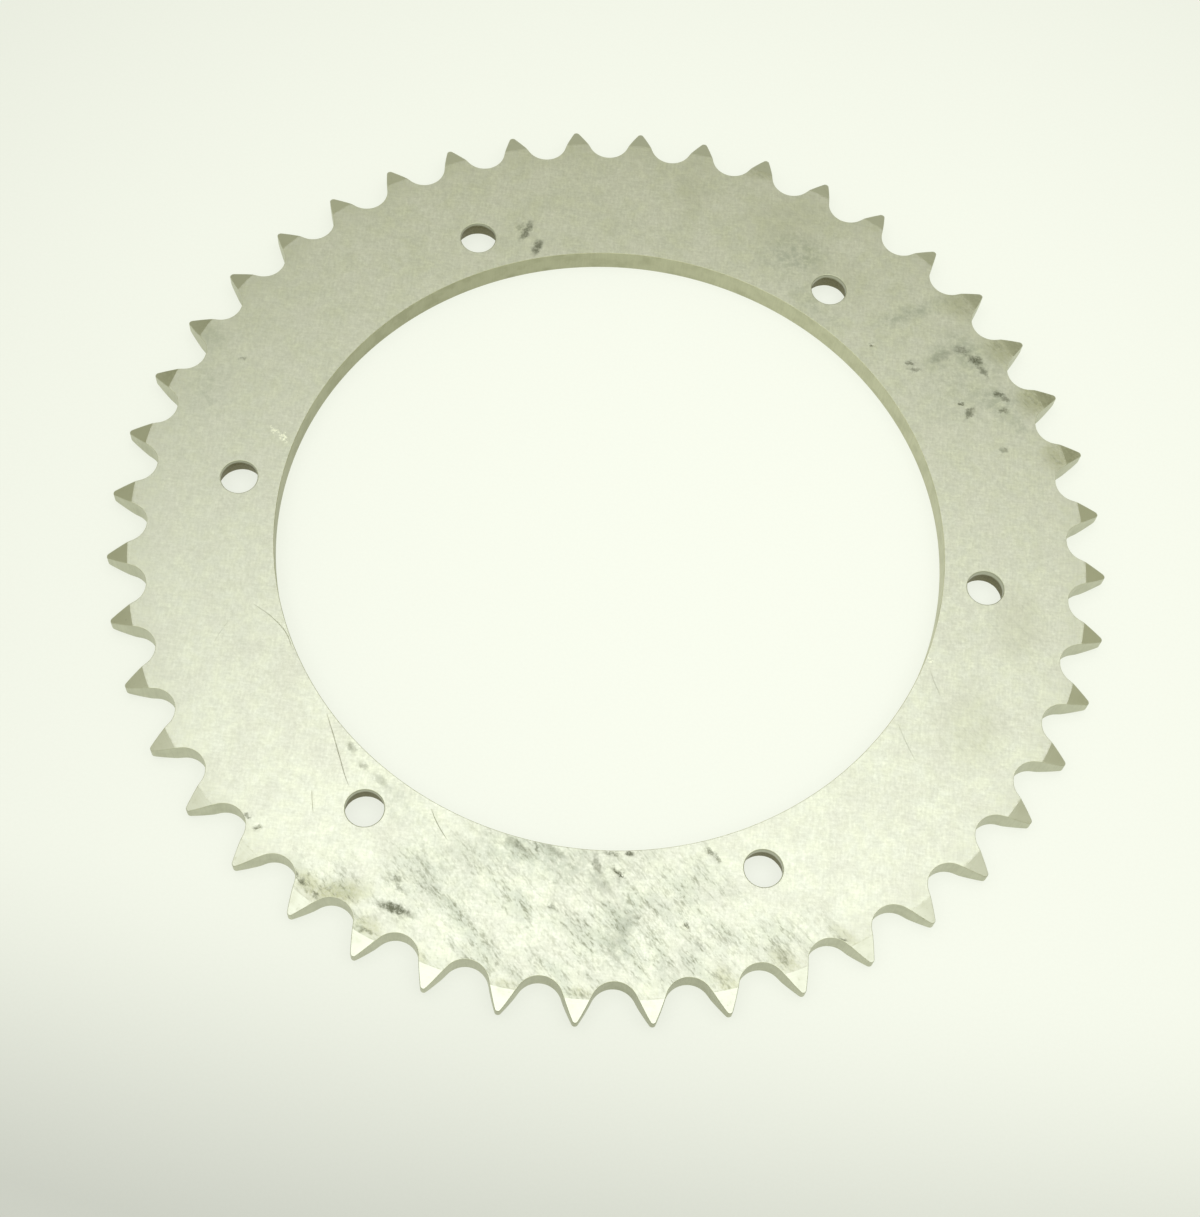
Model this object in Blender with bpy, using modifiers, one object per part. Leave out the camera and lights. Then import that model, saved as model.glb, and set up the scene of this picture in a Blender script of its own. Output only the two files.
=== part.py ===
"""Rear sprocket of a motorcycle: one flat steel ring with 44 chain teeth, a large plain bore
and six plain bolt holes.

The origin is the centre of the bore on the face that rests on the wheel hub. +Z runs along
the bore axis to the outer face, and a bolt hole and a tooth space are both centred on +X.
The model is in metres.
"""

import math

import bmesh
import bpy

MM = 0.001

# Chain: 5/8 inch pitch, 10.16 mm rollers
TEETH = 44
CHAIN_PITCH = 15.875 * MM
ROLLER_SEAT_RADIUS = 5.08 * MM
SEAT_HALF_ANGLE = math.radians(64)
FLANK_RADIUS = 56 * MM
TIP_RADIUS = 115 * MM

# Plate
THICKNESS = 6 * MM
BORE_RADIUS = 77.25 * MM
EDGE_BREAK = 0.3 * MM

# Side relief, turned on both faces so that the chain's inner plates find the teeth
RELIEF_DEPTH = 0.1 * CHAIN_PITCH
RELIEF_WIDTH = 0.3 * CHAIN_PITCH

# Bolt holes
HOLE_COUNT = 6
HOLE_CIRCLE_RADIUS = 87 * MM
HOLE_RADIUS = 4.25 * MM
HOLE_EDGE_BREAK = 0.2 * MM

# Fineness of the round stretches
SEAT_STEPS = 6
FLANK_STEPS = 3
TIP_STEPS = 2
TURNED_STEPS = 176
HOLE_STEPS = 32
CUTTER_OVERSHOOT = 2 * MM

STEEL_COLOUR = (0.50, 0.50, 0.44, 1.0)
STEEL_ROUGHNESS = 0.42


def clear_scene():
    for obj in list(bpy.data.objects):
        bpy.data.objects.remove(obj, do_unlink=True)


def new_collection(name):
    collection = bpy.data.collections.new(name)
    bpy.context.scene.collection.children.link(collection)
    return collection


def arc(centre, radius, start, end, steps):
    """Points on an arc, without its first one; angles are measured from +X."""
    points = []
    for step in range(1, steps + 1):
        angle = start + (end - start) * step / steps
        points.append((centre[0] + radius * math.cos(angle), centre[1] + radius * math.sin(angle)))
    return points


def half_tooth():
    """The outline from the root of the tooth space on +X to the tip of the next tooth.

    A roller seat, a convex flank tangent to it, and a tip rounded by the circle that is
    tangent to the flank, has its centre on the tooth's own axis and reaches TIP_RADIUS.
    """
    pitch_radius = CHAIN_PITCH / (2 * math.sin(math.pi / TEETH))
    seat_centre = (pitch_radius, 0)
    root = (pitch_radius - ROLLER_SEAT_RADIUS, 0)
    seat = arc(seat_centre, ROLLER_SEAT_RADIUS, math.pi, math.pi - SEAT_HALF_ANGLE, SEAT_STEPS)

    flank_start = -SEAT_HALF_ANGLE
    flank_centre = (
        seat[-1][0] - FLANK_RADIUS * math.cos(flank_start),
        seat[-1][1] - FLANK_RADIUS * math.sin(flank_start),
    )
    axis_angle = math.pi / TEETH
    axis = (math.cos(axis_angle), math.sin(axis_angle))
    along_axis = flank_centre[0] * axis[0] + flank_centre[1] * axis[1]
    centre_distance_squared = flank_centre[0] ** 2 + flank_centre[1] ** 2
    tip_rounding = (
        centre_distance_squared - 2 * TIP_RADIUS * along_axis + TIP_RADIUS**2 - FLANK_RADIUS**2
    ) / (2 * (TIP_RADIUS - along_axis - FLANK_RADIUS))
    tip_centre = ((TIP_RADIUS - tip_rounding) * axis[0], (TIP_RADIUS - tip_rounding) * axis[1])
    flank_end = math.atan2(tip_centre[1] - flank_centre[1], tip_centre[0] - flank_centre[0])
    flank = arc(flank_centre, FLANK_RADIUS, flank_start, flank_end, FLANK_STEPS)
    tip = arc(tip_centre, tip_rounding, flank_end, axis_angle, TIP_STEPS)
    return [root] + seat + flank + tip


def tooth_ring():
    """The whole toothed outline, anticlockwise, starting at the root on +X."""
    rising = half_tooth()
    falling = [(x, -y) for x, y in reversed(rising[1:-1])]
    points = []
    for tooth in range(TEETH):
        turn = 2 * math.pi * tooth / TEETH
        next_turn = 2 * math.pi * (tooth + 1) / TEETH
        points += [rotated(point, turn) for point in rising]
        points += [rotated(point, next_turn) for point in falling]
    return points


def rotated(point, angle):
    cosine = math.cos(angle)
    sine = math.sin(angle)
    return (point[0] * cosine - point[1] * sine, point[0] * sine + point[1] * cosine)


def extruded(name, outline, collection):
    """A closed outline as a solid that overshoots both faces of the plate."""
    curve = bpy.data.curves.new(name, "CURVE")
    curve.dimensions = "2D"
    curve.fill_mode = "BOTH"
    curve.extrude = THICKNESS / 2 + CUTTER_OVERSHOOT
    spline = curve.splines.new("POLY")
    spline.points.add(len(outline) - 1)
    for point, (x, y) in zip(spline.points, outline):
        point.co = (x, y, 0, 1)
    spline.use_cyclic_u = True
    flat = bpy.data.objects.new(name + "_outline", curve)
    flat.location.z = THICKNESS / 2
    collection.objects.link(flat)
    bpy.context.view_layer.update()

    evaluated = flat.evaluated_get(bpy.context.evaluated_depsgraph_get())
    mesh = bpy.data.meshes.new_from_object(evaluated)
    weld_and_face_out(mesh)
    solid = bpy.data.objects.new(name, mesh)
    solid.matrix_world = flat.matrix_world.copy()
    collection.objects.link(solid)
    bpy.data.objects.remove(flat, do_unlink=True)
    return solid


def weld_and_face_out(mesh):
    work = bmesh.new()
    work.from_mesh(mesh)
    bmesh.ops.remove_doubles(work, verts=work.verts, dist=1e-6)
    bmesh.ops.recalc_face_normals(work, faces=work.faces)
    work.to_mesh(mesh)
    work.free()


def turned(name, profile, steps, collection):
    """A solid of revolution about Z from a closed (radius, height) profile."""
    mesh = bpy.data.meshes.new(name)
    points = [(radius, 0, height) for radius, height in profile]
    edges = [(index, (index + 1) % len(points)) for index in range(len(points))]
    mesh.from_pydata(points, edges, [])
    solid = bpy.data.objects.new(name, mesh)
    collection.objects.link(solid)
    screw = solid.modifiers.new("Turn", "SCREW")
    screw.steps = steps
    screw.render_steps = steps
    screw.use_merge_vertices = True
    screw.merge_threshold = 0.00001
    screw.use_smooth_shade = True
    return solid


def as_cutter(obj):
    obj.hide_render = True
    obj.display_type = "WIRE"


def turned_blank(collection):
    """The disc as it leaves the lathe: bore, broken bore edges and the side relief.

    The relief runs on past the tooth tips, so that it trims them and nothing else. The
    profile runs down its outer side.
    """
    relief_start = TIP_RADIUS - RELIEF_WIDTH
    rim_radius = TIP_RADIUS + CUTTER_OVERSHOOT
    rim_drop = RELIEF_DEPTH * (rim_radius - relief_start) / RELIEF_WIDTH
    profile = [
        (BORE_RADIUS + EDGE_BREAK, THICKNESS),
        (relief_start, THICKNESS),
        (rim_radius, THICKNESS - rim_drop),
        (rim_radius, rim_drop),
        (relief_start, 0),
        (BORE_RADIUS + EDGE_BREAK, 0),
        (BORE_RADIUS, EDGE_BREAK),
        (BORE_RADIUS, THICKNESS - EDGE_BREAK),
    ]
    blank = turned("turned_blank", profile, TURNED_STEPS, collection)
    as_cutter(blank)
    return blank


def hole_cutter(name, angle, collection):
    """A drill with a countersunk shoulder at each face, which breaks the hole's edges."""
    flare = HOLE_RADIUS + HOLE_EDGE_BREAK
    flare_out = flare + CUTTER_OVERSHOOT
    profile = [
        (0, THICKNESS + CUTTER_OVERSHOOT),
        (flare_out, THICKNESS + CUTTER_OVERSHOOT),
        (flare, THICKNESS),
        (HOLE_RADIUS, THICKNESS - HOLE_EDGE_BREAK),
        (HOLE_RADIUS, HOLE_EDGE_BREAK),
        (flare, 0),
        (flare_out, -CUTTER_OVERSHOOT),
        (0, -CUTTER_OVERSHOOT),
    ]
    cutter = turned(name, profile, HOLE_STEPS, collection)
    cutter.location.x = HOLE_CIRCLE_RADIUS * math.cos(angle)
    cutter.location.y = HOLE_CIRCLE_RADIUS * math.sin(angle)
    as_cutter(cutter)
    return cutter


def add_boolean(obj, operation, other):
    boolean = obj.modifiers.new(other.name, "BOOLEAN")
    boolean.operation = operation
    boolean.solver = "EXACT"
    boolean.object = other


def plate_steel():
    material = bpy.data.materials.new("plate_steel")
    material.use_nodes = True
    shader = material.node_tree.nodes["Principled BSDF"]
    shader.inputs["Base Color"].default_value = STEEL_COLOUR
    shader.inputs["Metallic"].default_value = 1.0
    shader.inputs["Roughness"].default_value = STEEL_ROUGHNESS
    return material


def sprocket_plate(parts, cutters):
    """The toothed plate: the tall tooth outline, trimmed to the turned blank and drilled."""
    plate = extruded("sprocket_plate", tooth_ring(), parts)
    add_boolean(plate, "INTERSECT", turned_blank(cutters))
    for hole in range(HOLE_COUNT):
        angle = 2 * math.pi * hole / HOLE_COUNT
        add_boolean(plate, "DIFFERENCE", hole_cutter(f"bolt_hole_{hole + 1}", angle, cutters))
    plate.data.materials.append(plate_steel())
    plate.data.shade_smooth()
    plate.data.set_sharp_from_angle(angle=math.radians(20))
    return plate


def main():
    clear_scene()
    parts = new_collection("rear_sprocket")
    cutters = new_collection("cutters")
    sprocket_plate(parts, cutters)
    bpy.context.view_layer.update()


main()
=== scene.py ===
"""Looks of the rear sprocket: a bare rolled-steel ring with 44 chain teeth, lying on a pale table.

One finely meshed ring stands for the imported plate. Its outline, bore, bolt holes and side
relief repeat the plate's own sizes; the broken edges, the punched hole walls, scratches and
nicks are shape, and the steel's roll marks, stains and smudges are procedural materials.
"""

import math

import bpy
import numpy as np
from mathutils import Matrix, Vector, geometry, noise


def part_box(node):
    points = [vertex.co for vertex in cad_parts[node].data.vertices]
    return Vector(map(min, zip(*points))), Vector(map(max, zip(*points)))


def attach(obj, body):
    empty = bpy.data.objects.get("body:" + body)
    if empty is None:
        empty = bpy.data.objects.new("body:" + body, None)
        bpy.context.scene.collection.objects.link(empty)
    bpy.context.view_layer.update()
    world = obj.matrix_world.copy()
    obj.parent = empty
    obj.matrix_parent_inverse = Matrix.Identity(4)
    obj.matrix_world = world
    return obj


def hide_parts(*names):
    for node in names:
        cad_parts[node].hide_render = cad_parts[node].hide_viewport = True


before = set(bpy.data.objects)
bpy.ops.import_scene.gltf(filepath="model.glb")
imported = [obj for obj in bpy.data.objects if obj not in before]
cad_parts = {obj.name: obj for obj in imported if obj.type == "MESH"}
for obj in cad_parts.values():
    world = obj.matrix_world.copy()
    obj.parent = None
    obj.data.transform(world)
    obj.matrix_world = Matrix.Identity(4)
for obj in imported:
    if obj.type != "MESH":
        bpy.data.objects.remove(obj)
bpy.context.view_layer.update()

MM = 0.001

# The plate, in millimetres
TEETH = 44
CHAIN_PITCH = 15.875
ROLLER_SEAT_RADIUS = 5.08
SEAT_HALF_ANGLE = math.radians(64)
FLANK_RADIUS = 56.0
TIP_RADIUS = 115.0
BORE_RADIUS = 77.25
RELIEF_DEPTH = 0.1 * CHAIN_PITCH
RELIEF_START = TIP_RADIUS - 0.3 * CHAIN_PITCH
HOLE_COUNT = 6
HOLE_CIRCLE_RADIUS = 87.0
HOLE_RADIUS = 4.25
plate_low, plate_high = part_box("sprocket_plate")
THICKNESS = (plate_high.z - plate_low.z) / MM

# Fineness, in steps or millimetres
SEAT_STEPS = 12
LOWER_FLANK_STEPS = 2
UPPER_FLANK_STEPS = 5
TIP_STEPS = 5
CREASE_STEPS = 4
BORE_STEPS = 352
HOLE_STEPS = 64
EDGE_STEPS = 3
NICK_STEPS = 10
SCRATCH_SPACING = 0.7
FACE_SPACING = 1.6
FACE_MARGIN = 0.75
SCRATCH_MARGIN = FACE_MARGIN * 0.6
NICK_MARGIN = FACE_MARGIN * 0.4
WELD_DISTANCE = 1e-7
SHARP_ANGLE = math.radians(12)

# Which point of half a tooth lies on the crease where the relief starts
CREASE_AT = SEAT_STEPS + LOWER_FLANK_STEPS

# Rows of the walls, as shares of their straight height
STRAIGHT_ROWS = (0, 0.25, 0.5, 0.75, 1)
TORN_ROWS = (0, 0.15, 0.3, 0.45, 0.55, 0.6, 0.65, 0.8, 1)

# Broken edges, in millimetres
TOOTH_EDGE = 0.12
BORE_EDGE = 0.12
HOLE_EDGE = 0.2

# The bolt holes are punched: straight above the tear, flaring out below it. The tear's height
# and its raggedness are shares of the thickness. Each hole has its own flare, in millimetres
TEAR_HEIGHT = 0.72
TEAR_RAGGEDNESS = 0.05
TEAR_GRAIN = 0.03
TEAR_FLARES = (0.55, 0.92, 1.1, 0.97, 0.58, 0.58)

# Weights of x, y and z in the height that is compared with the tear's: the dark part, torn steel
# with painted shade, reaches higher towards -X and +Y
TEAR_AND_SHADE_TILT = (0.005, -0.0035, 1.0)

# Scratches as furrows: route in millimetres, width, depth. A share of the length at each end
# tapers
SCRATCH_TAPER = 0.25
SCRATCHES = (
    (((-55.9, -54.6), (-53.2, -60), (-51, -64.6), (-49.2, -68.4), (-47.6, -71.2)), 0.22, 0.06),
    (((-77.6, -31.1), (-72.8, -33.6), (-68.6, -37.0), (-66.1, -41.0)), 0.2, 0.05),
    (((-81.1, -35), (-82.6, -38.6), (-83.9, -42.8)), 0.14, 0.03),
    (((-29.4, -73), (-28, -75.5), (-26, -78.2), (-24.4, -80)), 0.18, 0.05),
    (((-55.6, -72.5), (-54.9, -75.6), (-54.1, -78.4)), 0.14, 0.03),
    (((75.4, -21.6), (76.9, -25.4), (78.7, -28.9)), 0.18, 0.045),
    (((69.3, -36.4), (71.8, -41.2), (74.4, -45.6)), 0.18, 0.045),
)

# Nicks: centre, half length, half width, angle in degrees, depth. Their rings, from the rim
# inwards, have a share of the size and a share of the depth, negative because it goes down
NICK_RINGS = ((1.25, 0.0), (1.0, -0.12), (0.62, -0.75), (0.0, -1.0))
NICKS = (
    (12.3, -81.0, 0.75, 0.4, -30, 0.12),
    (13.5, -81.7, 0.6, 0.35, -50, 0.12),
    (28.6, -90.6, 0.85, 0.32, -50, 0.12),
    (31.7, -73.5, 0.95, 0.35, -40, 0.12),
    (33.4, -74.6, 0.9, 0.4, -50, 0.08),
    (-0.5, -91.0, 0.7, 0.3, -10, 0.08),
    (-65.3, -83.2, 0.8, 0.45, 20, 0.1),
    (-53.8, -93.6, 0.9, 0.4, -30, 0.1),
    (55.4, 61.2, 0.4, 0.4, 0, 0.06),
    (78.0, 48.4, 0.4, 0.35, 0, 0.06),
)

# Material slots of the ring's mesh
FACE, RELIEF, TOOTH_WALL, BORE_WALL, HOLE_WALL = range(5)


# ---------------------------------------------------------------- outline


def rotated(points, angle):
    turn = np.array([[math.cos(angle), math.sin(angle)], [-math.sin(angle), math.cos(angle)]])
    return np.asarray(points) @ turn


def round_points(centre, radius, angles):
    x = centre[0] + radius * np.cos(angles)
    y = centre[1] + radius * np.sin(angles)
    return np.column_stack([x, y])


def arc(centre, radius, start, end, steps):
    """Points on an arc, without its first one; angles are measured from +X."""
    return round_points(centre, radius, start + (end - start) * np.arange(1, steps + 1) / steps)


def half_tooth():
    """From the root of the tooth space on +X to the next tip: roller seat, flank, rounded tip.

    The flank has a point exactly where the side relief starts.
    """
    pitch_radius = CHAIN_PITCH / (2 * math.sin(math.pi / TEETH))
    seat_centre = np.array([pitch_radius, 0.0])
    seat = arc(seat_centre, ROLLER_SEAT_RADIUS, math.pi, math.pi - SEAT_HALF_ANGLE, SEAT_STEPS)
    start = -SEAT_HALF_ANGLE
    flank_centre = seat[-1] - FLANK_RADIUS * np.array([math.cos(start), math.sin(start)])
    tooth_angle = math.pi / TEETH
    axis = np.array([math.cos(tooth_angle), math.sin(tooth_angle)])
    along = float(flank_centre @ axis)
    away = float(flank_centre @ flank_centre)
    tip_rounding = (away - 2 * TIP_RADIUS * along + TIP_RADIUS**2 - FLANK_RADIUS**2) / (
        2 * (TIP_RADIUS - along - FLANK_RADIUS)
    )
    tip_centre = (TIP_RADIUS - tip_rounding) * axis
    end = math.atan2(*(tip_centre - flank_centre)[::-1])
    reach = (RELIEF_START**2 - away - FLANK_RADIUS**2) / (2 * FLANK_RADIUS * math.sqrt(away))
    crease = math.atan2(flank_centre[1], flank_centre[0]) - math.acos(reach)
    root = [(pitch_radius - ROLLER_SEAT_RADIUS, 0.0)]
    return np.vstack(
        [
            root,
            seat,
            arc(flank_centre, FLANK_RADIUS, start, crease, LOWER_FLANK_STEPS),
            arc(flank_centre, FLANK_RADIUS, crease, end, UPPER_FLANK_STEPS),
            arc(tip_centre, tip_rounding, end, tooth_angle, TIP_STEPS),
        ]
    )


def tooth_ring():
    """The whole toothed outline, anticlockwise from the root on +X."""
    rising = half_tooth()
    falling = rising[-2:0:-1] * (1, -1)
    step = 2 * math.pi / TEETH
    return np.vstack(
        [
            piece
            for tooth in range(TEETH)
            for piece in (rotated(rising, tooth * step), rotated(falling, (tooth + 1) * step))
        ]
    )


def circle(centre, radius, steps):
    """A clockwise loop, so that the steel is on its left."""
    return round_points(centre, radius, -2 * math.pi * np.arange(steps) / steps)


def away_from_steel(loop):
    """Unit normals in the plane, out of the steel, for a loop with the steel on its left."""
    along = np.roll(loop, -1, 0) - np.roll(loop, 1, 0)
    normals = np.column_stack([along[:, 1], -along[:, 0]])
    return normals / np.linalg.norm(normals, axis=1)[:, None]


def relief(points):
    """How far both faces are turned down at these points."""
    radius = np.linalg.norm(points, axis=1)
    slope = RELIEF_DEPTH / (TIP_RADIUS - RELIEF_START)
    return np.clip(radius - RELIEF_START, 0, None) * slope


# ---------------------------------------------------------------- mesh


class Ring:
    """Collects the ring's points and faces, in millimetres."""

    def __init__(self):
        self.points = []
        self.faces = []
        self.slots = []
        self.sharp_rows = []
        self.count = 0

    def add_points(self, points):
        start = self.count
        self.points.append(np.asarray(points, float))
        self.count += len(points)
        return np.arange(start, self.count)

    def add_faces(self, faces, slot):
        self.faces += [tuple(int(i) for i in face) for face in faces]
        self.slots += [slot] * len(faces)

    def strip(self, lower, upper, slot):
        """Quads between two closed rows, the second above the first, facing out of the steel."""
        after_lower = np.roll(lower, -1)
        after_upper = np.roll(upper, -1)
        self.add_faces(np.column_stack([lower, after_lower, after_upper, upper]), slot)


def wall(ring, loop, edge, slot, heights, hollow=None):
    """A wall round one loop, with a rounded edge at each face.

    heights are the wall's rows as shares of its straight height. hollow(share) moves each point
    of a row back into the steel. Returns the rows where the wall meets the bottom and top faces.
    """
    normals = away_from_steel(loop)
    drop = relief(loop)
    low = drop + edge
    high = THICKNESS - drop - edge
    moves = [np.zeros(len(loop)) if hollow is None else -hollow(share) for share in heights]
    turns = [math.pi / 2 * step / EDGE_STEPS for step in range(EDGE_STEPS)]
    rows = []
    for turn in turns:
        flat = loop + normals * (moves[0] - edge * (1 - math.sin(turn)))[:, None]
        height = relief(flat) if turn == 0 else low - edge * math.cos(turn)
        rows.append(np.column_stack([flat, height]))
    for share, move in zip(heights, moves):
        flat = loop + normals * move[:, None]
        rows.append(np.column_stack([flat, low + (high - low) * share]))
    for turn in reversed(turns):
        flat = loop + normals * (moves[-1] - edge * (1 - math.sin(turn)))[:, None]
        height = THICKNESS - relief(flat) if turn == 0 else high + edge * math.cos(turn)
        rows.append(np.column_stack([flat, height]))
    indices = [ring.add_points(row) for row in rows]
    for lower, upper in zip(indices, indices[1:]):
        ring.strip(lower, upper, slot)
    ring.sharp_rows += [indices[0], indices[EDGE_STEPS], indices[-1 - EDGE_STEPS], indices[-1]]
    return indices[0], indices[-1]


def hole_centres():
    step = 2 * math.pi / HOLE_COUNT
    return [rotated([(HOLE_CIRCLE_RADIUS, 0)], hole * step)[0] for hole in range(HOLE_COUNT)]


def punched(hole):
    """How a punched wall leaves the cylinder: straight above, torn and flaring out below."""
    around = [Vector((x, y, 7.3 * hole)) for x, y in circle((0, 0), 3, HOLE_STEPS)]
    ragged = TEAR_RAGGEDNESS * np.array([noise.noise(place) for place in around])
    grain = TEAR_GRAIN * np.array([noise.noise(place * 4) for place in around])

    def hollow(share):
        below = np.clip(TEAR_HEIGHT + ragged - share, 0, None)
        return below / TEAR_HEIGHT * TEAR_FLARES[hole] + np.where(below > 0, grain, 0)

    return hollow


def in_loop(points, loop):
    """Which points a closed loop surrounds."""
    x, y = points[:, 0], points[:, 1]
    surrounded = np.zeros(len(points), bool)
    for (x0, y0), (x1, y1) in zip(loop, np.roll(loop, -1, 0)):
        if y0 != y1:
            spans = (y0 > y) != (y1 > y)
            surrounded ^= spans & (x < x0 + (y - y0) * (x1 - x0) / (y1 - y0))
    return surrounded


def in_steel(points, rims):
    """Which points lie within the outline and outside the bore and the holes."""
    steel_there = in_loop(points, rims[0])
    for rim in rims[1:]:
        steel_there &= ~in_loop(points, rim)
    return steel_there


def distance_to(points, others):
    """Distance from each point to the nearest of the others."""
    at_once = 2000
    nearest = np.empty(len(points))
    for start in range(0, len(points), at_once):
        part = points[start : start + at_once]
        gaps = np.linalg.norm(part[:, None] - others[None], axis=2)
        nearest[start : start + at_once] = gaps.min(1)
    return nearest


def hexagonal_grid():
    """Evenly spread points over the ring's square."""
    rise = FACE_SPACING * math.sqrt(3) / 2
    rows = int(TIP_RADIUS / rise) + 1
    columns = int(TIP_RADIUS / FACE_SPACING) + 1
    grid = [
        ((column + 0.5 * (row % 2)) * FACE_SPACING, row * rise)
        for row in range(-rows, rows + 1)
        for column in range(-columns, columns + 1)
    ]
    return np.array(grid)


def crease_rows():
    """Where the side relief starts: a short arc across each tooth."""
    crease_point = half_tooth()[CREASE_AT]
    start = math.atan2(crease_point[1], crease_point[0])
    step = 2 * math.pi / TEETH
    shares = np.linspace(0, 1, CREASE_STEPS + 1)[1:-1]
    rows = []
    for tooth in range(TEETH):
        angles = start + (step - 2 * start) * shares + tooth * step
        rows.append(round_points((0, 0), RELIEF_START, angles))
    return rows


def dent(x, y, half_length, half_width, angle, depth):
    """A shallow elliptical nick: its points with their depths."""
    around = 2 * math.pi * np.arange(NICK_STEPS) / NICK_STEPS
    points = []
    for share, sink in NICK_RINGS:
        turns = around if share else around[:1]
        oval = share * np.column_stack([half_length * np.cos(turns), half_width * np.sin(turns)])
        flat = rotated(oval, math.radians(angle)) + (x, y)
        points.append(np.column_stack([flat, np.full(len(flat), sink * depth)]))
    return np.vstack(points)


def groove(route, width, depth):
    """A scratch: a fine furrow along a smooth curve through the route, tapering at both ends."""
    route = np.array(route, float)
    along = np.concatenate([[0], np.cumsum(np.linalg.norm(np.diff(route, axis=0), axis=1))])
    length = along[-1]
    steps = max(3, int(length / SCRATCH_SPACING))
    places = np.linspace(0, length, steps + 1)
    line = np.column_stack([smooth_through(along, route[:, i], places) for i in (0, 1)])
    slope = np.gradient(line, axis=0)
    side = np.column_stack([-slope[:, 1], slope[:, 0]])
    side /= np.linalg.norm(side, axis=1)[:, None]
    to_end = np.minimum(places, length - places)
    taper = np.clip(to_end / (SCRATCH_TAPER * length), 0, 1) ** 0.5
    half = (0.5 * width * taper)[:, None]
    flat = np.zeros((steps + 1, 1))
    middle = np.column_stack([line, -depth * taper])
    left = np.column_stack([line + side * half, flat])[1:-1]
    right = np.column_stack([line - side * half, flat])[1:-1]
    return [middle, left, right]


def smooth_through(knots, values, places):
    """A cubic through all the values, with slopes from their neighbours."""
    slopes = np.gradient(values, knots)
    after = np.clip(np.searchsorted(knots, places, side="right"), 1, len(knots) - 1)
    before = after - 1
    span = knots[after] - knots[before]
    t = (places - knots[before]) / span
    return (
        (1 + 2 * t) * (1 - t) ** 2 * values[before]
        + t * (1 - t) ** 2 * span * slopes[before]
        + t**2 * (3 - 2 * t) * values[after]
        - t**2 * (1 - t) * span * slopes[after]
    )


def undented(points):
    """Points of a face's plan, with no depth."""
    return np.column_stack([points, np.zeros(len(points))])


def free_points(rims, creases, furrows, nicks):
    """The grid's points on the steel, clear of the rims, creases, furrows and nicks."""
    grid = hexagonal_grid()
    grid = grid[in_steel(grid, rims)]
    margins = (FACE_MARGIN, FACE_MARGIN, SCRATCH_MARGIN, NICK_MARGIN)
    for lines, margin in zip((rims, creases, furrows, nicks), margins):
        if lines:
            grid = grid[distance_to(grid, np.vstack(lines)[:, :2]) > margin]
    return grid


def kept_edges(rims, creases, furrows, starts):
    """Edges that the net of a face has to keep; starts are the first points of its parts."""
    edges = []
    for start, rim in zip(starts, rims):
        edges += [(start + i, start + (i + 1) % len(rim)) for i in range(len(rim))]
    per_tooth = len(rims[0]) // TEETH
    for tooth, start in enumerate(starts[len(rims) : len(rims) + TEETH]):
        first = tooth * per_tooth + CREASE_AT
        last = (tooth + 1) * per_tooth - CREASE_AT
        chain = [first, *range(start, start + len(creases[0])), last]
        edges += list(zip(chain, chain[1:]))
    for start, line in zip(starts[len(rims) + TEETH :], furrows):
        edges += [(start + i, start + i + 1) for i in range(len(line) - 1)]
    return [(int(start), int(end)) for start, end in edges]


def place_in_ring(ring, points, sources, layout, rim_index, top):
    """Each net point's number in the ring: a rim's point is there already, others are added."""
    index = np.full(len(points), -1)
    sink = np.zeros(len(points))
    for new, made_from in enumerate(sources):
        for source in made_from:
            sink[new] = min(sink[new], layout[source, 2])
            if source < len(rim_index):
                index[new] = rim_index[source]
    free = index < 0
    height = relief(points[free]) - sink[free]
    if top:
        height = THICKNESS - height
    index[free] = ring.add_points(np.column_stack([points[free], height]))
    return index


def add_face(ring, rim_rows, top):
    """One face: rims, crease arcs, furrows and nicks, filled with an even net of triangles."""
    every_point = np.vstack(ring.points)
    rims = [every_point[row][:, :2] for row in rim_rows]
    creases = crease_rows()
    furrows = [line for scratch in SCRATCHES for line in groove(*scratch)] if top else []
    nicks = [dent(*nick) for nick in NICKS] if top else []
    grid = free_points(rims, creases, furrows, nicks)
    parts = [*map(undented, rims), *map(undented, creases), *furrows, *nicks, undented(grid)]
    layout = np.vstack(parts)
    starts = np.cumsum([0] + [len(part) for part in parts])
    edges = kept_edges(rims, creases, furrows, starts)

    plan = [Vector(point[:2]) for point in layout]
    net = geometry.delaunay_2d_cdt(plan, edges, [], 0, WELD_DISTANCE, True)
    points = np.array([tuple(point) for point in net[0]])
    triangles = np.array([tuple(face) for face in net[2]])
    triangles = triangles[in_steel(points[triangles].mean(1), rims)]
    index = place_in_ring(ring, points, net[3], layout, np.concatenate(rim_rows), top)

    corners = points[triangles]
    one = corners[:, 1] - corners[:, 0]
    two = corners[:, 2] - corners[:, 0]
    clockwise = one[:, 0] * two[:, 1] < one[:, 1] * two[:, 0]
    faces = index[triangles]
    faces[clockwise == top] = faces[clockwise == top][:, ::-1]
    in_relief = np.linalg.norm(corners.mean(1), axis=1) > RELIEF_START
    ring.add_faces(faces[~in_relief], FACE)
    ring.add_faces(faces[in_relief], RELIEF)


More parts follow.
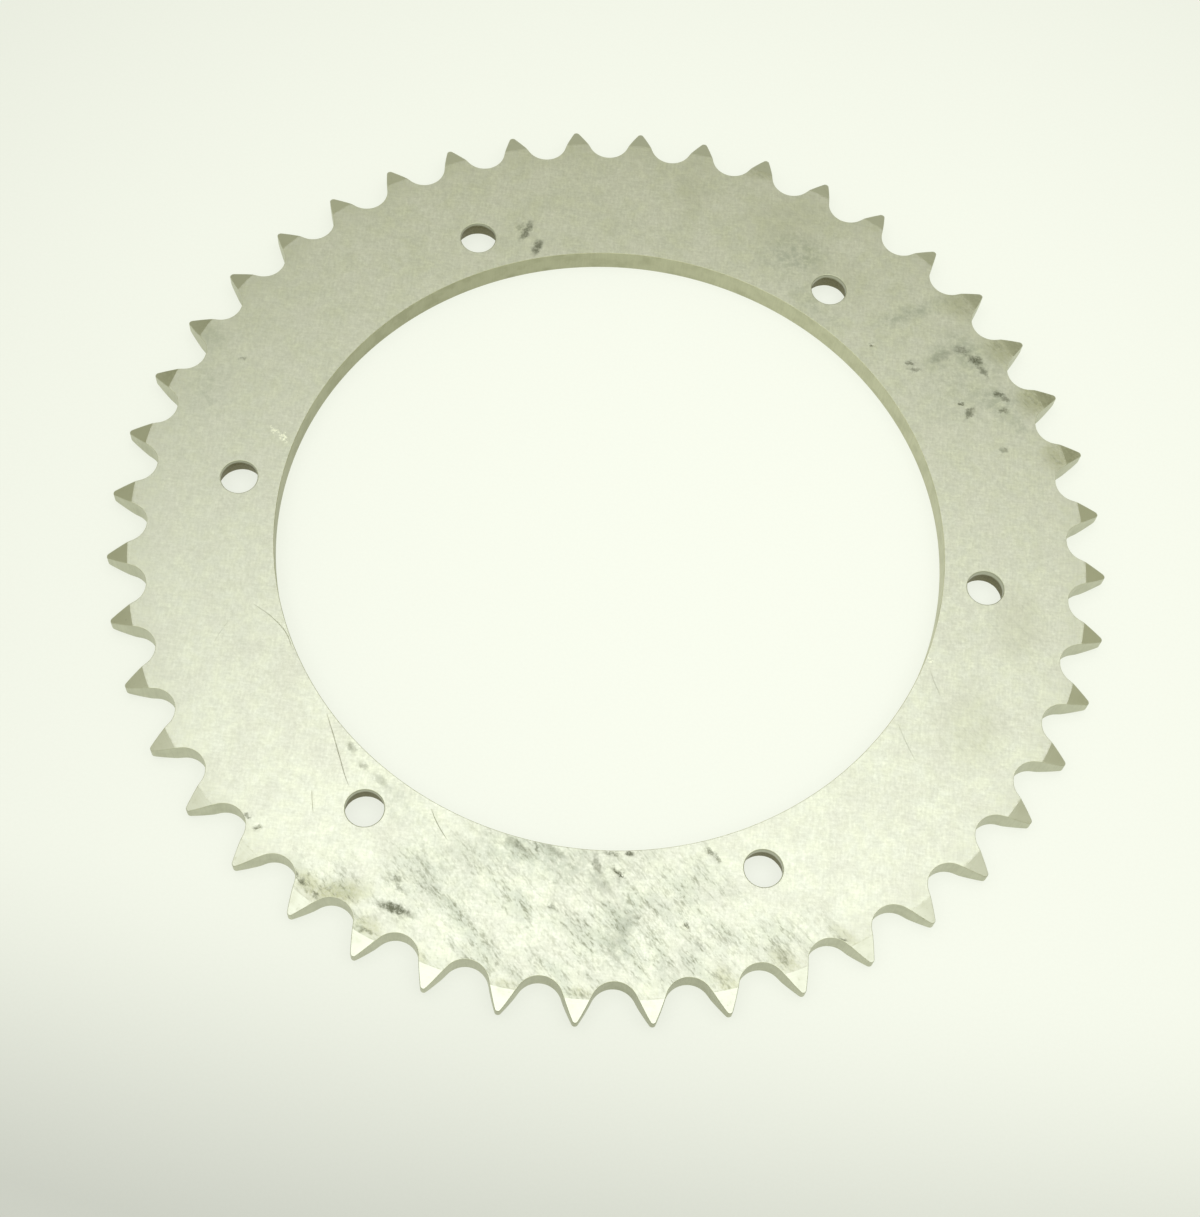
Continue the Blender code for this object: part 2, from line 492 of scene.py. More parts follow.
def ring_mesh():
    ring = Ring()
    bore = circle((0, 0), BORE_RADIUS, BORE_STEPS)
    walls = [wall(ring, tooth_ring(), TOOTH_EDGE, TOOTH_WALL, STRAIGHT_ROWS)]
    walls.append(wall(ring, bore, BORE_EDGE, BORE_WALL, STRAIGHT_ROWS))
    for hole, centre in enumerate(hole_centres()):
        rim = circle(centre, HOLE_RADIUS, HOLE_STEPS)
        walls.append(wall(ring, rim, HOLE_EDGE, HOLE_WALL, TORN_ROWS, punched(hole)))
    add_face(ring, [top for _, top in walls], True)
    add_face(ring, [bottom for bottom, _ in walls], False)
    mesh = bpy.data.meshes.new("sprocket_ring")
    mesh.from_pydata((np.vstack(ring.points) * MM).tolist(), [], ring.faces)
    mesh.polygons.foreach_set("material_index", ring.slots)
    mesh.shade_smooth()
    sharpen(mesh, ring.sharp_rows)
    mesh.validate()
    mesh.update()
    return mesh


def sharpen(mesh, rows):
    """Marks the rows where a broken edge meets a face or a wall, and every crease."""
    mesh.set_sharp_from_angle(angle=SHARP_ANGLE)
    row_of = np.full(len(mesh.vertices), -1)
    for number, row in enumerate(rows):
        row_of[row] = number
    ends = np.empty(len(mesh.edges) * 2, np.int32)
    mesh.edges.foreach_get("vertices", ends)
    ends = ends.reshape(-1, 2)
    on_row = (row_of[ends[:, 0]] >= 0) & (row_of[ends[:, 0]] == row_of[ends[:, 1]])
    sharp = np.zeros(len(mesh.edges), bool)
    mesh.edges.foreach_get("use_edge_sharp", sharp)
    mesh.edges.foreach_set("use_edge_sharp", sharp | on_row)


# ---------------------------------------------------------------- materials


# How far below the top face a mark reaches, and a shift too small to see, in millimetres
MARK_DEPTH = 3.3
UNSEEN_SHIFT = 0.0001


class Nodes:
    """Short hands for building one material's node tree. Places and lengths are in millimetres."""

    def __init__(self, name):
        self.material = bpy.data.materials.new(name)
        self.material.use_nodes = True
        self.tree = self.material.node_tree
        self.shader = self.tree.nodes["Principled BSDF"]
        coordinates = self.node("ShaderNodeTexCoord").outputs["Object"]
        self.place = self.vector("SCALE", coordinates, scale=1 / MM)

    def node(self, kind, **settings):
        made = self.tree.nodes.new(kind)
        for key, value in settings.items():
            setattr(made, key, value)
        return made

    def put(self, socket, value):
        if isinstance(value, bpy.types.NodeSocket):
            self.tree.links.new(value, socket)
        else:
            socket.default_value = value

    def vector(self, operation, first, second=(0, 0, 0), scale=1.0):
        made = self.node("ShaderNodeVectorMath", operation=operation)
        self.put(made.inputs[0], first)
        if operation == "SCALE":
            self.put(made.inputs["Scale"], scale)
        elif operation != "LENGTH":
            self.put(made.inputs[1], second)
        return made.outputs["Value" if operation in ("LENGTH", "DOT_PRODUCT") else "Vector"]

    def coordinate(self, axis):
        """How far along X, Y or Z."""
        made = self.node("ShaderNodeSeparateXYZ")
        self.put(made.inputs[0], self.place)
        return made.outputs[axis]

    def radius(self):
        """How far from the bore's axis."""
        return self.vector("LENGTH", self.vector("MULTIPLY", self.place, (1, 1, 0)))

    def math(self, operation, first, second=0.0, clamp=False):
        made = self.node("ShaderNodeMath", operation=operation, use_clamp=clamp)
        self.put(made.inputs[0], first)
        self.put(made.inputs[1], second)
        return made.outputs[0]

    def stretched(self, angle, length, width, height=None, centre=(0, 0, 0), place=None):
        """Coordinates in which an ellipse of these half sizes, turned so, is a unit circle."""
        made = self.node("ShaderNodeMapping", vector_type="TEXTURE")
        self.put(made.inputs["Vector"], place or self.place)
        self.put(made.inputs["Location"], centre)
        self.put(made.inputs["Rotation"], (0, 0, math.radians(angle)))
        self.put(made.inputs["Scale"], (length, width, height or width))
        return made.outputs["Vector"]

    def noise(self, place, scale=1.0, detail=2.0, roughness=0.5, colour=False):
        made = self.node("ShaderNodeTexNoise")
        self.put(made.inputs["Vector"], place)
        self.put(made.inputs["Scale"], scale)
        self.put(made.inputs["Detail"], detail)
        self.put(made.inputs["Roughness"], roughness)
        return made.outputs["Color" if colour else "Fac"]

    def ramp(self, value, start, end, low=0.0, high=1.0):
        """Smoothly from low, at start, to high, at end."""
        made = self.node("ShaderNodeMapRange", interpolation_type="SMOOTHSTEP")
        limits = {"From Min": start, "From Max": end, "To Min": low, "To Max": high}
        for name, number in limits.items():
            made.inputs[name].default_value = number
        self.put(made.inputs["Value"], value)
        return made.outputs["Result"]

    def mix(self, share, first, second):
        """From the first colour to the second by a share."""
        made = self.node("ShaderNodeMix", data_type="RGBA")
        self.put(made.inputs[0], share)
        for socket, colour in ((made.inputs[6], first), (made.inputs[7], second)):
            self.put(socket, (*colour, 1) if isinstance(colour, tuple) else colour)
        return made.outputs[2]

    def bump(self, height, distance):
        made = self.node("ShaderNodeBump")
        self.put(made.inputs["Height"], height)
        self.put(made.inputs["Distance"], distance * MM)
        self.put(self.shader.inputs["Normal"], made.outputs["Normal"])

    def finish(self, colour, roughness, metallic=1.0):
        self.put(self.shader.inputs["Base Color"], colour)
        self.put(self.shader.inputs["Roughness"], roughness)
        self.put(self.shader.inputs["Metallic"], metallic)
        return self.material


def spots(nodes, place, marks, softness):
    """One mask for many elliptical marks, and the place for the next group of them.

    Each mark has its centre, half length, half width, angle and strength, lies on the top
    face, and has faded out above the underside. The renderer can't hold the values of all the
    marks at once. A shift far too small to see makes the next group wait for this one.
    """
    mask = None
    for x, y, half_length, half_width, angle, strength in marks:
        centre = (x, y, THICKNESS)
        spot = nodes.stretched(angle, half_length, half_width, MARK_DEPTH, centre, place)
        one = nodes.ramp(nodes.vector("LENGTH", spot), 1 + softness, 1 - softness, 0.0, strength)
        mask = one if mask is None else nodes.math("MAXIMUM", mask, one)
    return mask, nodes.vector("ADD", place, nodes.vector("SCALE", mask, scale=UNSEEN_SHIFT))


# Direction in which the sheet was rolled, in degrees from +X
ROLL_ANGLE = 140.0

# Colours of the rolled face
SKIN = (0.658, 0.666, 0.604)
YELLOW_SKIN = (0.679, 0.688, 0.594)
GREY_SKIN = (0.669, 0.664, 0.614)
# Painted shade towards -X
LEFT_SHADE_SKIN = (0.42, 0.43, 0.38)
PORE = (0.30, 0.30, 0.25)
RIM_DIRT = (0.36, 0.36, 0.25)
# Painted shade along the crease where the relief starts
CREASE_SHADE = (0.28, 0.28, 0.2)
STAIN = (0.32, 0.32, 0.18)
CLOUD = (0.30, 0.33, 0.28)
STREAK = (0.22, 0.225, 0.17)
SMUDGE = (0.105, 0.11, 0.075)
SCUFF = (0.90, 0.90, 0.78)

# Dark smudges: centre, half length, half width, angle in degrees, strength. The other marks
# have the same columns
SMUDGES = (
    (-33.0, -96.6, 3.6, 1.05, -12, 0.85),
    (-33.9, -90.2, 1.1, 0.5, 10, 0.5),
    (-32.9, -91.9, 1.3, 0.45, -25, 0.45),
    (-48.9, -62.0, 1.5, 0.8, -50, 0.5),
    (-45.6, -65.9, 1.1, 0.6, -30, 0.42),
    (-41.0, -68.7, 2.3, 0.8, -35, 0.3),
    (-9.5, -78.6, 2.8, 0.9, -30, 0.4),
    (-5.6, -78.4, 1.1, 0.4, -62, 0.6),
    (-1.5, -78.6, 2.6, 0.8, -25, 0.4),
    (8.0, -80.2, 2.6, 0.8, -68, 0.5),
    (12.3, -81.0, 0.9, 0.5, -30, 0.75),
    (13.5, -81.7, 0.8, 0.45, -50, 0.75),
    (14.6, -76.7, 1.1, 0.5, 0, 0.8),
    (10.4, -77.3, 1.6, 0.35, 4, 0.55),
    (9.6, -84.6, 3.0, 1.1, -32, 0.3),
    (17.9, -90.3, 0.9, 0.5, 10, 0.4),
    (28.6, -90.6, 1.0, 0.4, -50, 0.65),
    (31.7, -73.4, 1.1, 0.45, -40, 0.65),
    (33.4, -74.6, 1.0, 0.5, -50, 0.5),
    (31.8, -94.0, 1.5, 0.45, -45, 0.3),
    (-0.5, -91.0, 0.9, 0.4, -10, 0.4),
    (-65.3, -83.3, 1.0, 0.5, 20, 0.5),
    (-68.0, -81.0, 0.7, 0.45, -20, 0.6),
    (-53.9, -93.6, 1.1, 0.5, -30, 0.55),
    (-52.3, -92.0, 0.5, 0.5, 0, 0.4),
    (-54.9, -92.3, 0.6, 0.4, -40, 0.5),
    (-38.3, -102.2, 1.9, 0.6, -15, 0.55),
    (-47.6, -94.2, 0.9, 0.35, 20, 0.45),
    (-44.9, -93.6, 0.7, 0.35, -30, 0.4),
    (-50.0, -96.2, 0.8, 0.4, -50, 0.5),
    (15.0, -94.5, 4.6, 1.5, 68, 0.22),
    (72.6, 60.8, 3.2, 1.2, 35, 0.25),
    (61.9, -88.5, 0.9, 0.35, -20, 0.7),
    (49.6, -94.4, 1.8, 0.9, -40, 0.35),
    (-32.2, 79.4, 3.0, 0.8, 72, 0.7),
    (-33.8, 80.4, 1.3, 0.5, 60, 0.4),
    (-28.8, 75.1, 2.1, 1.0, 72, 0.75),
    (65.0, 57.6, 1.0, 0.7, 0, 0.65),
    (66.3, 56.0, 1.4, 0.5, 10, 0.5),
    (77.2, 63.4, 1.7, 1.1, -20, 0.55),
    (80.7, 61.2, 1.8, 1.0, -25, 0.85),
    (82.6, 58.4, 2.1, 0.7, -50, 0.6),
    (86.9, 52.5, 1.3, 0.6, 0, 0.75),
    (88.6, 51.3, 1.0, 0.6, 0, 0.6),
    (88.3, 48.2, 1.1, 0.8, 0, 0.65),
    (80.2, 46.0, 1.7, 0.9, 60, 0.7),
    (78.0, 48.4, 0.55, 0.5, 0, 0.8),
    (55.4, 61.2, 0.55, 0.5, 0, 0.7),
    (89.0, 37.3, 0.8, 0.7, 0, 0.5),
    (-93.0, 31.5, 0.7, 0.4, 0, 0.5),
)

# Wide, soft clouds of dirt
CLOUDS = (
    (-36.0, -73.5, 6.0, 3.2, -35, 0.5),
    (-23.0, -89.0, 9.0, 5.0, -55, 0.5),
    (-5.0, -80.5, 13.0, 4.4, -6, 0.75),
    (9.0, -82.0, 4.5, 4.0, -40, 0.5),
    (15.0, -95.0, 3.4, 7.5, -12, 0.95),
    (24.0, -100.0, 10.0, 4.0, -30, 0.25),
    (72.3, 60.5, 4.4, 3.0, 60, 0.95),
    (79.0, 62.5, 7.0, 3.6, -35, 1.0),
    (64.0, 72.0, 8.0, 1.9, 30, 1.0),
    (92.0, 44.5, 4.0, 2.6, -45, 0.7),
    (86.5, 50.5, 6.0, 3.6, -20, 0.95),
    (34.0, 84.0, 6.5, 4.8, 10, 1.0),
    (39.0, 71.0, 9.0, 2.5, -35, 0.5),
    (80.0, 54.0, 12.0, 10.0, 0, 0.4),
    (-99.0, 22.0, 4.0, 7.0, 0, 0.5),
    (-101.0, 36.0, 3.0, 3.2, 0, 0.7),
)

# Brown stains, mostly along cut edges
STAINS = (
    (-45.5, -95.0, 5.5, 2.4, 12, 1.0),
    (-38.0, -101.5, 3.0, 1.8, -30, 0.7),
    (-52.0, -94.0, 3.8, 1.8, -40, 0.75),
    (-27.0, -105.5, 3.0, 1.2, -40, 0.5),
    (38.5, -101.5, 3.4, 1.8, -40, 0.6),
    (50.0, -95.0, 3.6, 1.8, -35, 0.6),
    (62.5, -88.0, 3.5, 1.4, -30, 0.5),
    (8.0, -108.5, 2.6, 0.9, 0, 0.5),
    (-7.5, -109.0, 2.6, 0.9, 0, 0.4),
    (95.0, -8.0, 5.0, 8.0, 0, 0.25),
    (86.0, -36.0, 6.0, 9.0, 0, 0.25),
    (95.5, 52.5, 3.6, 4.0, 0, 0.8),
    (102.0, 37.5, 3.4, 3.5, 0, 0.7),
    (87.0, 66.0, 4.0, 4.0, 0, 0.7),
    (77.0, 77.0, 5.0, 4.0, 0, 0.6),
    (24.0, 107.0, 4.0, 1.5, 0, 0.5),
    (7.0, 98.0, 4.0, 7.0, 0, 0.16),
    (31.0, 93.0, 9.0, 7.0, -20, 0.2),
    (45.0, 79.0, 8.0, 6.0, -40, 0.16),
)

# Stains on the reliefs
RELIEF_STAINS = (
    (99.0, 53.0, 2.5, 4.5, 30, 0.55),
    (105.5, 39.0, 2.5, 4.5, 20, 0.5),
    (91.5, 66.0, 2.5, 4.5, 35, 0.45),
    (80.0, 79.0, 2.5, 4.5, 40, 0.35),
    (-108.5, 26.0, 2.5, 4.0, -15, 0.4),
    (-103.0, 41.5, 2.5, 4.0, -20, 0.4),
    (-93.5, 61.0, 2.5, 4.0, -30, 0.3),
)

# Where the rolled skin is streaked
STREAKY = (
    (5.0, -93.0, 42.0, 20.0, 0, 1.0),
    (-46.0, -96.0, 12.0, 7.0, -30, 0.8),
    (47.0, -93.0, 14.0, 9.0, 30, 0.7),
)

# Bright scuffs
SCUFFS = (
    (-81.2, 13.2, 1.3, 0.8, 0, 0.8),
    (-79.2, 12.0, 1.6, 0.9, -30, 0.8),
    (-82.4, 14.2, 0.5, 0.4, 0, 0.7),
    (75.6, -20.4, 0.5, 0.7, 0, 0.9),
)


def face_steel():
    """Rolled steel skin: streaks along the roll, dark clouds of dirt, smudges, stains and bright
    scuffs, with painted shade towards -X and at the crease.
    """
    nodes = Nodes("rolled_steel_face")
    ragged = nodes.noise(nodes.place, 0.8, 4.0, 0.65, colour=True)
    ragged = nodes.vector("SCALE", nodes.vector("SUBTRACT", ragged, (0.5, 0.5, 0.5)), scale=3.2)
    torn_place = nodes.vector("ADD", nodes.place, ragged)

    long_streaks = nodes.noise(nodes.stretched(ROLL_ANGLE, 4.5, 1.1), 1.0, 4.0, 0.7)
    short_streaks = nodes.noise(nodes.stretched(ROLL_ANGLE - 4, 1.3, 0.45), 1.0, 3.0, 0.65)
    streaks = nodes.math("ADD", long_streaks, short_streaks)
    drifts = nodes.noise(nodes.stretched(ROLL_ANGLE, 13.0, 6.0), 1.0, 4.0, 0.6)
    mottle = nodes.noise(nodes.place, 0.13, 3.0, 0.55)
    patches = nodes.noise(nodes.place, 0.34, 2.0, 0.5)
    blotches = nodes.noise(nodes.place, 0.6, 5.0, 0.7)
    upright = nodes.noise(nodes.stretched(92, 3.0, 0.5), 1.0, 3.0, 0.6)
    level = nodes.noise(nodes.stretched(2, 3.0, 0.5), 1.0, 3.0, 0.6)
    weave = nodes.math("ADD", upright, level)
    grain = nodes.noise(nodes.place, 1.3, 5.0, 0.8)
    streaky, torn_place = spots(nodes, torn_place, STREAKY, 0.5)
    clouds, torn_place = spots(nodes, torn_place, CLOUDS, 0.75)
    smudges, torn_place = spots(nodes, torn_place, SMUDGES, 0.6)
    stains, torn_place = spots(nodes, torn_place, STAINS, 0.7)
    scuffs, torn_place = spots(nodes, torn_place, SCUFFS, 0.35)
    radius = nodes.radius()
    # Painted shade: the face darkens towards -X
    painted_left_shade = nodes.ramp(nodes.coordinate("X"), -45.0, -110.0, 0.0, 0.24)

    drifts = nodes.math("MULTIPLY", streaky, nodes.ramp(drifts, 0.42, 0.66))
    stains = nodes.math("MULTIPLY", stains, nodes.ramp(grain, 0.30, 0.60, 0.45, 1.0))
    clouds = nodes.math("MULTIPLY", clouds, nodes.ramp(blotches, 0.40, 0.62, 0.25, 1.0))
    drifts = nodes.math("MULTIPLY", drifts, 0.75)
    dirt = nodes.math("ADD", drifts, clouds, clamp=True)
    density = nodes.math("ADD", drifts, nodes.math("MULTIPLY", streaky, 0.3))
    density = nodes.math("ADD", density, nodes.math("MULTIPLY", stains, 0.8))
    density = nodes.math("ADD", density, 0.07, clamp=True)
    streaks = nodes.math("MULTIPLY", nodes.ramp(streaks, 0.96, 1.26), density)
    smudges = nodes.math("MULTIPLY", smudges, nodes.ramp(grain, 0.36, 0.54, 0.4, 1.1))
    scuffs = nodes.math("MULTIPLY", scuffs, nodes.ramp(grain, 0.45, 0.60))
    rim_dirt = nodes.ramp(radius, 103.0, 110.0)
    rim_dirt = nodes.math("MULTIPLY", rim_dirt, nodes.ramp(grain, 0.44, 0.66))
    # Painted shade: a thin dark line on the face just inside the crease where the relief starts
    crease_shade = nodes.ramp(radius, 109.8, 110.1)
    crease_shade = nodes.math("MULTIPLY", crease_shade, nodes.ramp(grain, 0.35, 0.6))

    colour = nodes.mix(nodes.ramp(patches, 0.35, 0.65), SKIN, YELLOW_SKIN)
    colour = nodes.mix(nodes.ramp(mottle, 0.35, 0.70, 0.0, 0.7), colour, GREY_SKIN)
    colour = nodes.mix(nodes.ramp(weave, 0.75, 1.25, 0.19, 0.0), colour, PORE)
    colour = nodes.mix(nodes.ramp(blotches, 0.35, 0.65, 0.0, 0.13), colour, PORE)
    colour = nodes.mix(nodes.ramp(grain, 0.34, 0.66, 0.24, 0.0), colour, PORE)
    colour = nodes.mix(painted_left_shade, colour, LEFT_SHADE_SKIN)
    colour = nodes.mix(nodes.math("MULTIPLY", rim_dirt, 0.35), colour, RIM_DIRT)
    colour = nodes.mix(nodes.math("MULTIPLY", stains, 0.75), colour, STAIN)
    colour = nodes.mix(nodes.math("MULTIPLY", dirt, 0.5), colour, CLOUD)
    colour = nodes.mix(nodes.math("MULTIPLY", streaks, 0.75), colour, STREAK)
    colour = nodes.mix(nodes.math("MULTIPLY", crease_shade, 0.25), colour, CREASE_SHADE)
    colour = nodes.mix(smudges, colour, SMUDGE)
    colour = nodes.mix(scuffs, colour, SCUFF)

    roughness = nodes.ramp(mottle, 0.3, 0.7, 0.36, 0.42)
    roughness = nodes.math("ADD", roughness, nodes.math("MULTIPLY", streaks, 0.12))
    roughness = nodes.math("ADD", roughness, nodes.math("MULTIPLY", smudges, 0.1))
    nodes.bump(nodes.math("SUBTRACT", grain, nodes.math("MULTIPLY", long_streaks, 0.5)), 0.012)
    return nodes.finish(colour, roughness)


def relief_steel():
    """Freshly turned relief: cleaner and smoother than the skin, with fine turning rings, painted
    shade on its sides and painted light towards the front.
    """
    nodes = Nodes("turned_steel_relief")
    ring_place = nodes.node("ShaderNodeCombineXYZ")
    nodes.put(ring_place.inputs[0], nodes.math("MULTIPLY", nodes.radius(), 4.0))
    rings = nodes.noise(ring_place.outputs[0], 1.0, 2.0, 0.6)
    patches = nodes.noise(nodes.place, 0.3, 3.0, 0.6)
    grime = nodes.noise(nodes.place, 1.2, 3.0, 0.6)
    stains = spots(nodes, nodes.place, RELIEF_STAINS, 0.8)[0]
    stains = nodes.math("MULTIPLY", stains, nodes.ramp(grime, 0.35, 0.6, 0.3, 1.0))
    x = nodes.coordinate("X")
    y = nodes.coordinate("Y")
    rightwards = nodes.math("SUBTRACT", x, nodes.math("MULTIPLY", y, 0.3))
    # Painted shade: the relief is darker towards -X and, less so, towards +X, where its rings catch
    # less light
    painted_shade_and_tint = nodes.ramp(x, -75.0, -108.0, 0.0, 0.75)
    painted_shade_and_tint = nodes.math("ADD", painted_shade_and_tint, nodes.ramp(rightwards, 55.0, 100.0, 0.0, 0.36))
    # Painted light: paler and less yellow towards the front, where the light on the relief is
    # brightest
    colour = nodes.mix(nodes.ramp(y, -105.0, 30.0), (0.595, 0.60, 0.535), (0.585, 0.59, 0.455))
    colour = nodes.mix(nodes.ramp(rings, 0.3, 0.7, 0.15, 0.0), colour, (0.34, 0.345, 0.29))
    colour = nodes.mix(painted_shade_and_tint, colour, (0.45, 0.455, 0.37))
    colour = nodes.mix(nodes.ramp(patches, 0.5, 0.8, 0.0, 0.3), colour, (0.42, 0.42, 0.30))
    colour = nodes.mix(nodes.ramp(grime, 0.6, 0.8, 0.0, 0.35), colour, (0.25, 0.25, 0.18))
    colour = nodes.mix(stains, colour, (0.30, 0.30, 0.20))
    nodes.bump(rings, 0.003)
    return nodes.finish(colour, nodes.ramp(patches, 0.3, 0.7, 0.29, 0.35))


# Cut steel and its darker colour: painted shade, whose span is its centre and reach along X in
# millimetres, and random tint patches
TOOTH_STEEL = (0.56, 0.57, 0.44)
TOOTH_SHADE_AND_TINT = (0.42, 0.43, 0.31)
TOOTH_SHADE_SPAN = (20.0, 48.0)
BORE_STEEL = (0.555, 0.56, 0.40)
BORE_SHADE_AND_TINT = (0.365, 0.37, 0.24)
BORE_SHADE_SPAN = (-70.0, 130.0)


def cut_steel(name, light, dark, shade_centre, shade_reach):
    """A cut wall: faint upright cutting lines, a painted shade strongest at its centre on X, and
    random darker patches.
    """
    nodes = Nodes(name)
    lines = nodes.noise(nodes.stretched(0, 0.4, 0.4, 5.0), 1.0, 3.0, 0.6)
    patches = nodes.noise(nodes.place, 0.25, 3.0, 0.6)
    # Painted shade by the place along X, where the wall catches less light; the patches are random
    # tint
    away = nodes.math("ABSOLUTE", nodes.math("SUBTRACT", nodes.coordinate("X"), shade_centre))
    painted_shade_and_tint = nodes.ramp(away, shade_reach, 0.0, 0.0, 0.75)
    painted_shade_and_tint = nodes.math("ADD", painted_shade_and_tint, nodes.ramp(patches, 0.40, 0.75, 0.0, 0.4), clamp=True)
    colour = nodes.mix(painted_shade_and_tint, light, dark)
    colour = nodes.mix(nodes.ramp(lines, 0.3, 0.7, 0.12, 0.0), colour, (0.2, 0.2, 0.14))
    nodes.bump(lines, 0.012)
    return nodes.finish(colour, 0.45)


def punched_steel():
    """A punched wall: burnished above, torn, dark and rough below; the dark is partly painted
    shade.
    """
    nodes = Nodes("punched_steel_hole")
    height = nodes.vector("DOT_PRODUCT", nodes.place, TEAR_AND_SHADE_TILT)
    ragged = nodes.noise(nodes.place, 0.25, 3.0, 0.6)
    level = nodes.math("ADD", height, nodes.math("MULTIPLY", ragged, 1.2))
    tear = THICKNESS * TEAR_HEIGHT
    burnished = nodes.ramp(level, tear + 0.5, tear + 1.5)
    grain = nodes.noise(nodes.place, 3.0, 3.0, 0.6)
    # Torn steel, darkened in part as painted shade of the hole's lower wall
    torn = nodes.mix(nodes.ramp(grain, 0.3, 0.7), (0.15, 0.14, 0.07), (0.235, 0.225, 0.125))
    colour = nodes.mix(burnished, torn, (0.46, 0.47, 0.36))
    nodes.bump(grain, 0.03)
    return nodes.finish(colour, nodes.ramp(burnished, 0.0, 1.0, 0.6, 0.4))


# ---------------------------------------------------------------- scene


def sprocket_ring():
    piece = bpy.data.objects.new("sprocket_ring", ring_mesh())
    bpy.context.scene.collection.objects.link(piece)
    tooth_wall = cut_steel("cut_steel_teeth", TOOTH_STEEL, TOOTH_SHADE_AND_TINT, *TOOTH_SHADE_SPAN)
    bore_wall = cut_steel("cut_steel_bore", BORE_STEEL, BORE_SHADE_AND_TINT, *BORE_SHADE_SPAN)
    for material in (face_steel(), relief_steel(), tooth_wall, bore_wall, punched_steel()):
        piece.data.materials.append(material)
    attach(piece, "root")
    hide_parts("sprocket_plate")


# The table, in metres. Its light is strongest at the brightest place, in millimetres, and
# from there falls by the dimming times the square of the distance in metres
FLOOR_SIZE = 6.0
FLOOR_GAP = 0.00005
BRIGHTEST_PLACE = (40, 0, 0)
DIMMING = 2.0
MOST_DIM = 0.36
TABLE_GLOW = (0.745, 0.77, 0.69)
BLACK = (0.0, 0.0, 0.0)


def table():
    """The pale surface that the ring lies on. Most of its light is its own, so shadows stay pale.

    It dims away from the brightest place and towards the front.
    """
    mesh = bpy.data.meshes.new("table")
    half = FLOOR_SIZE / 2
    corners = [(-half, -half, 0), (half, -half, 0), (half, half, 0), (-half, half, 0)]
    mesh.from_pydata(corners, [], [(0, 1, 2, 3)])
    floor = bpy.data.objects.new("table", mesh)
    floor.location.z = -FLOOR_GAP
    bpy.context.scene.collection.objects.link(floor)
    nodes = Nodes("table_paper")
    away = nodes.vector("SUBTRACT", nodes.place, BRIGHTEST_PLACE)
    away = nodes.math("MULTIPLY", nodes.vector("LENGTH", away), MM)
    away = nodes.math("MULTIPLY", nodes.math("POWER", away, 2.0), DIMMING)
    front = nodes.ramp(nodes.coordinate("Y"), -85.0, -195.0, 0.0, 0.34)
    dim = nodes.math("MINIMUM", nodes.math("ADD", away, front), MOST_DIM)
    fibres = nodes.noise(nodes.place, 1.5, 3.0, 0.6)
    paper = nodes.mix(nodes.ramp(fibres, 0.3, 0.7), (0.195, 0.195, 0.185), (0.185, 0.185, 0.175))
    nodes.put(nodes.shader.inputs["Base Color"], nodes.mix(dim, paper, BLACK))
    nodes.put(nodes.shader.inputs["Emission Color"], nodes.mix(dim, TABLE_GLOW, BLACK))
    nodes.shader.inputs["Emission Strength"].default_value = 1.0
    nodes.shader.inputs["Roughness"].default_value = 0.8
    nodes.shader.inputs["Specular IOR Level"].default_value = 0.0
    mesh.materials.append(nodes.material)


# The photo's view, in metres and degrees
CAMERA_TARGET = Vector((0.0, -0.01687, 0.0))
CAMERA_AZIMUTH = math.radians(-88.337)
CAMERA_ELEVATION = math.radians(64.277)
CAMERA_ROLL = math.radians(7.008)
CAMERA_DISTANCE = 0.50085
CAMERA_LENS = 64.52


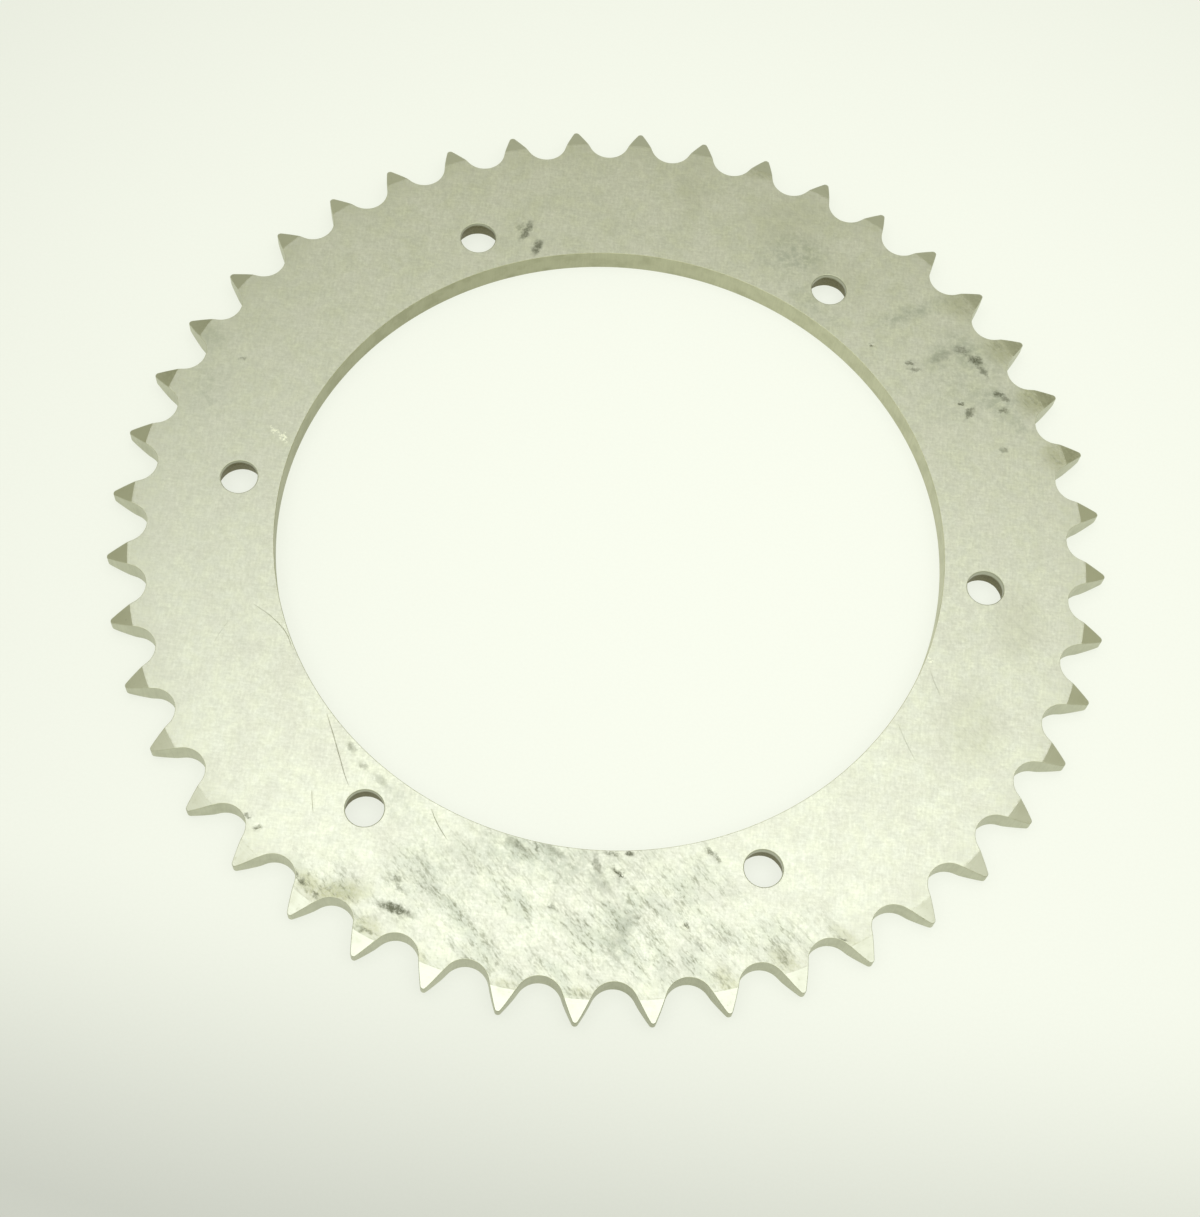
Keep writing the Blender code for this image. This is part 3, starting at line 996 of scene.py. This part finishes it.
def camera():
    outwards = math.cos(CAMERA_ELEVATION)
    back = Vector(
        (
            outwards * math.cos(CAMERA_AZIMUTH),
            outwards * math.sin(CAMERA_AZIMUTH),
            math.sin(CAMERA_ELEVATION),
        )
    )
    right = Vector((0, 0, 1)).cross(back).normalized()
    up = back.cross(right)
    level = Matrix((right, up, back)).transposed()
    rolled = level @ Matrix.Rotation(CAMERA_ROLL, 3, "Z")
    data = bpy.data.cameras.new("camera")
    data.lens = CAMERA_LENS
    eye = bpy.data.objects.new("camera", data)
    eye.matrix_world = Matrix.Translation(CAMERA_TARGET + back * CAMERA_DISTANCE) @ rolled.to_4x4()
    bpy.context.scene.collection.objects.link(eye)
    bpy.context.scene.camera = eye


# The lamp, in metres and watts
LAMP_PLACE = (0.03, -0.17, 0.9)
LAMP_LENGTH = 1.48
LAMP_WIDTH = 1.3
LAMP_POWER = 7.1
LAMP_COLOUR = (0.94, 0.975, 1.0)

# The room's light, from the horizon up; heights are sines of the elevation
WALL_LIGHT = (0.60, 0.62, 0.56)
CEILING_LIGHT = (0.617, 0.63, 0.441)
WALL_TOP = 0.25
CEILING_START = 0.5


def lights():
    """A wide, cool softbox overhead."""
    data = bpy.data.lights.new("softbox", "AREA")
    data.shape = "ELLIPSE"
    data.size = LAMP_LENGTH
    data.size_y = LAMP_WIDTH
    data.energy = LAMP_POWER
    data.color = LAMP_COLOUR
    lamp = bpy.data.objects.new("softbox", data)
    lamp.location = LAMP_PLACE
    bpy.context.scene.collection.objects.link(lamp)


def room():
    """A plain pale wall all round at eye level, and warm light from above it."""
    world = bpy.data.worlds.new("studio")
    bpy.context.scene.world = world
    world.use_nodes = True
    tree = world.node_tree
    direction = tree.nodes.new("ShaderNodeTexCoord")
    split = tree.nodes.new("ShaderNodeSeparateXYZ")
    rise = tree.nodes.new("ShaderNodeMapRange")
    rise.interpolation_type = "SMOOTHSTEP"
    rise.inputs["From Min"].default_value = WALL_TOP
    rise.inputs["From Max"].default_value = CEILING_START
    blend = tree.nodes.new("ShaderNodeMix")
    blend.data_type = "RGBA"
    blend.inputs[6].default_value = (*WALL_LIGHT, 1)
    blend.inputs[7].default_value = (*CEILING_LIGHT, 1)
    tree.links.new(direction.outputs["Generated"], split.inputs[0])
    tree.links.new(split.outputs["Z"], rise.inputs["Value"])
    tree.links.new(rise.outputs["Result"], blend.inputs[0])
    tree.links.new(blend.outputs[2], tree.nodes["Background"].inputs["Color"])


sprocket_ring()
table()
camera()
lights()
room()
bpy.context.scene.view_settings.view_transform = "Standard"
